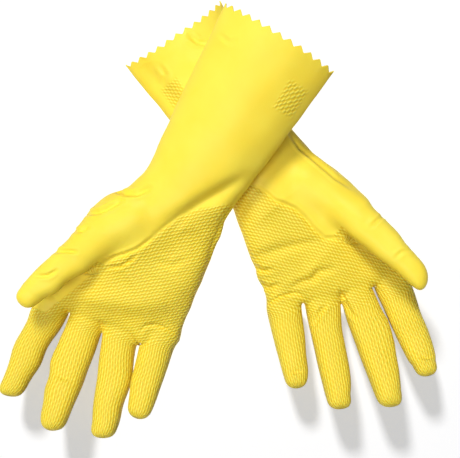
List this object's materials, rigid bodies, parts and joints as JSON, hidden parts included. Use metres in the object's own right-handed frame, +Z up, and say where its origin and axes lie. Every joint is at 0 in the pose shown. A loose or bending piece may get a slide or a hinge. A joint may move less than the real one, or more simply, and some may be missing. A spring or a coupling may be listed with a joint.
{
  "type": "pair of rubber gloves",
  "caption": "Pair of yellow household rubber gloves with pinked cuffs and grip-textured palms, laid palm up with the forearms crossed, for wet cleaning work.",
  "frame": {"origin": "on the resting surface, under the middle of the pair's bounding box", "axes": "+Z up, out of the palms; -Y towards the fingertips; +X towards the side where the left-hand glove's fingers lie"},
  "size_m": [0.2907, 0.2943, 0.0811],
  "materials": {
    "yellow_latex": "satin dipped latex with a flock-lined inside"
  },
  "bodies": {
    "left_forearm": {"left_cuff": "yellow_latex", "left_wrist_flex": "yellow_latex"},
    "left_palm": {"left_hand": "yellow_latex", "left_thumb_root_flex": "yellow_latex", "left_index_root_flex": "yellow_latex", "left_middle_root_flex": "yellow_latex", "left_ring_root_flex": "yellow_latex", "left_little_root_flex": "yellow_latex"},
    "left_thumb_proximal": {"left_thumb_base": "yellow_latex", "left_thumb_knuckle_flex": "yellow_latex"},
    "left_thumb_distal": {"left_thumb_tip": "yellow_latex"},
    "left_index_proximal": {"left_index_base": "yellow_latex", "left_index_knuckle_flex": "yellow_latex"},
    "left_index_distal": {"left_index_tip": "yellow_latex"},
    "left_middle_proximal": {"left_middle_base": "yellow_latex", "left_middle_knuckle_flex": "yellow_latex"},
    "left_middle_distal": {"left_middle_tip": "yellow_latex"},
    "left_ring_proximal": {"left_ring_base": "yellow_latex", "left_ring_knuckle_flex": "yellow_latex"},
    "left_ring_distal": {"left_ring_tip": "yellow_latex"},
    "left_little_proximal": {"left_little_base": "yellow_latex", "left_little_knuckle_flex": "yellow_latex"},
    "left_little_distal": {"left_little_tip": "yellow_latex"},
    "right_forearm": {"right_cuff": "yellow_latex", "right_wrist_flex": "yellow_latex"},
    "right_palm": {"right_hand": "yellow_latex", "right_thumb_root_flex": "yellow_latex", "right_index_root_flex": "yellow_latex", "right_middle_root_flex": "yellow_latex", "right_ring_root_flex": "yellow_latex", "right_little_root_flex": "yellow_latex"},
    "right_thumb_proximal": {"right_thumb_base": "yellow_latex", "right_thumb_knuckle_flex": "yellow_latex"},
    "right_thumb_distal": {"right_thumb_tip": "yellow_latex"},
    "right_index_proximal": {"right_index_base": "yellow_latex", "right_index_knuckle_flex": "yellow_latex"},
    "right_index_distal": {"right_index_tip": "yellow_latex"},
    "right_middle_proximal": {"right_middle_base": "yellow_latex", "right_middle_knuckle_flex": "yellow_latex"},
    "right_middle_distal": {"right_middle_tip": "yellow_latex"},
    "right_ring_proximal": {"right_ring_base": "yellow_latex", "right_ring_knuckle_flex": "yellow_latex"},
    "right_ring_distal": {"right_ring_tip": "yellow_latex"},
    "right_little_proximal": {"right_little_base": "yellow_latex", "right_little_knuckle_flex": "yellow_latex"},
    "right_little_distal": {"right_little_tip": "yellow_latex"}
  },
  "joints": [
    {"name": "left_wrist", "type": "hinge", "parent": "left_forearm", "child": "left_palm", "pos_m": [0.034, 0.02634, 0.01702], "axis": [-0.866, -0.5, 0], "range_deg": [-25, 25], "stiffness_Nm_per_rad": 0.3, "deforming": ["left_wrist_flex"]},
    {"name": "left_thumb_root", "type": "hinge", "parent": "left_palm", "child": "left_thumb_proximal", "pos_m": [0.09425, -0.0048, 0.03433], "axis": [0.3604, 0.6288, 0.689], "range_deg": [-30, 20], "stiffness_Nm_per_rad": 0.04, "deforming": ["left_thumb_root_flex"]},
    {"name": "left_thumb_knuckle", "type": "hinge", "parent": "left_thumb_proximal", "child": "left_thumb_distal", "pos_m": [0.11113, -0.02027, 0.03962], "axis": [0.3962, 0.5961, 0.6984], "range_deg": [-45, 10], "stiffness_Nm_per_rad": 0.04, "deforming": ["left_thumb_knuckle_flex"]},
    {"name": "left_index_root", "type": "hinge", "parent": "left_palm", "child": "left_index_proximal", "pos_m": [0.12235, -0.05651, 0.01656], "axis": [-0.9483, -0.3173, 0], "range_deg": [-20, 60], "stiffness_Nm_per_rad": 0.04, "deforming": ["left_index_root_flex"]},
    {"name": "left_index_knuckle", "type": "hinge", "parent": "left_index_proximal", "child": "left_index_distal", "pos_m": [0.13014, -0.07979, 0.02213], "axis": [-0.9483, -0.3173, 0], "range_deg": [-10, 70], "stiffness_Nm_per_rad": 0.04, "deforming": ["left_index_knuckle_flex"]},
    {"name": "left_middle_root", "type": "hinge", "parent": "left_palm", "child": "left_middle_proximal", "pos_m": [0.09728, -0.06281, 0.01656], "axis": [-0.9636, -0.2672, 0], "range_deg": [-20, 60], "stiffness_Nm_per_rad": 0.04, "deforming": ["left_middle_root_flex"]},
    {"name": "left_middle_knuckle", "type": "hinge", "parent": "left_middle_proximal", "child": "left_middle_distal", "pos_m": [0.10462, -0.08927, 0.02281], "axis": [-0.9636, -0.2672, 0], "range_deg": [-10, 70], "stiffness_Nm_per_rad": 0.04, "deforming": ["left_middle_knuckle_flex"]},
    {"name": "left_ring_root", "type": "hinge", "parent": "left_palm", "child": "left_ring_proximal", "pos_m": [0.07209, -0.06781, 0.01656], "axis": [-0.989, -0.1478, 0], "range_deg": [-20, 60], "stiffness_Nm_per_rad": 0.04, "deforming": ["left_ring_root_flex"]},
    {"name": "left_ring_knuckle", "type": "hinge", "parent": "left_ring_proximal", "child": "left_ring_distal", "pos_m": [0.076, -0.09401, 0.02258], "axis": [-0.989, -0.1478, 0], "range_deg": [-10, 70], "stiffness_Nm_per_rad": 0.04, "deforming": ["left_ring_knuckle_flex"]},
    {"name": "left_little_root", "type": "hinge", "parent": "left_palm", "child": "left_little_proximal", "pos_m": [0.04536, -0.06828, 0.01656], "axis": [-0.9863, -0.165, 0], "range_deg": [-20, 60], "stiffness_Nm_per_rad": 0.04, "deforming": ["left_little_root_flex"]},
    {"name": "left_little_knuckle", "type": "hinge", "parent": "left_little_proximal", "child": "left_little_distal", "pos_m": [0.04876, -0.08864, 0.02123], "axis": [-0.9863, -0.165, 0], "range_deg": [-10, 70], "stiffness_Nm_per_rad": 0.04, "deforming": ["left_little_knuckle_flex"]},
    {"name": "right_wrist", "type": "hinge", "parent": "right_forearm", "child": "right_palm", "pos_m": [-0.02737, 0.00366, 0.03947], "axis": [-0.8387, 0.5446, 0], "range_deg": [-25, 25], "stiffness_Nm_per_rad": 0.3, "deforming": ["right_wrist_flex"]},
    {"name": "right_thumb_root", "type": "hinge", "parent": "right_palm", "child": "right_thumb_proximal", "pos_m": [-0.09047, -0.02631, 0.0437], "axis": [0.4151, -0.5112, -0.7526], "range_deg": [-30, 20], "stiffness_Nm_per_rad": 0.04, "deforming": ["right_thumb_root_flex"]},
    {"name": "right_thumb_knuckle", "type": "hinge", "parent": "right_thumb_proximal", "child": "right_thumb_distal", "pos_m": [-0.10848, -0.0414, 0.04401], "axis": [0.453, -0.4796, -0.7515], "range_deg": [-45, 10], "stiffness_Nm_per_rad": 0.04, "deforming": ["right_thumb_knuckle_flex"]},
    {"name": "right_index_root", "type": "hinge", "parent": "right_palm", "child": "right_index_proximal", "pos_m": [-0.11819, -0.07125, 0.01436], "axis": [-0.9214, 0.3865, -0.0404], "range_deg": [-20, 60], "stiffness_Nm_per_rad": 0.04, "deforming": ["right_index_root_flex"]},
    {"name": "right_index_knuckle", "type": "hinge", "parent": "right_index_proximal", "child": "right_index_distal", "pos_m": [-0.12792, -0.09394, 0.01924], "axis": [-0.9214, 0.3865, -0.0404], "range_deg": [-10, 70], "stiffness_Nm_per_rad": 0.04, "deforming": ["right_index_knuckle_flex"]},
    {"name": "right_middle_root", "type": "hinge", "parent": "right_palm", "child": "right_middle_proximal", "pos_m": [-0.09311, -0.07915, 0.01596], "axis": [-0.9639, 0.257, -0.0703], "range_deg": [-20, 60], "stiffness_Nm_per_rad": 0.04, "deforming": ["right_middle_root_flex"]},
    {"name": "right_middle_knuckle", "type": "hinge", "parent": "right_middle_proximal", "child": "right_middle_distal", "pos_m": [-0.10061, -0.1057, 0.02164], "axis": [-0.9639, 0.257, -0.0703], "range_deg": [-10, 70], "stiffness_Nm_per_rad": 0.04, "deforming": ["right_middle_knuckle_flex"]},
    {"name": "right_ring_root", "type": "hinge", "parent": "right_palm", "child": "right_ring_proximal", "pos_m": [-0.06826, -0.08557, 0.01781], "axis": [-0.9884, 0.114, -0.1006], "range_deg": [-20, 60], "stiffness_Nm_per_rad": 0.04, "deforming": ["right_ring_root_flex"]},
    {"name": "right_ring_knuckle", "type": "hinge", "parent": "right_ring_proximal", "child": "right_ring_distal", "pos_m": [-0.07188, -0.11187, 0.0236], "axis": [-0.9884, 0.114, -0.1006], "range_deg": [-10, 70], "stiffness_Nm_per_rad": 0.04, "deforming": ["right_ring_knuckle_flex"]},
    {"name": "right_little_root", "type": "hinge", "parent": "right_palm", "child": "right_little_proximal", "pos_m": [-0.04233, -0.08762, 0.02062], "axis": [-0.9716, 0.2237, -0.0776], "range_deg": [-20, 60], "stiffness_Nm_per_rad": 0.04, "deforming": ["right_little_root_flex"]},
    {"name": "right_little_knuckle", "type": "hinge", "parent": "right_little_proximal", "child": "right_little_distal", "pos_m": [-0.04731, -0.10774, 0.02492], "axis": [-0.9716, 0.2237, -0.0776], "range_deg": [-10, 70], "stiffness_Nm_per_rad": 0.04, "deforming": ["right_little_knuckle_flex"]},
    {"name": "right_glove_lift", "type": "slide", "parent": "left_forearm", "child": "right_forearm", "axis": [0, 0, 1], "range_m": [0, 0.25]}
  ]
}
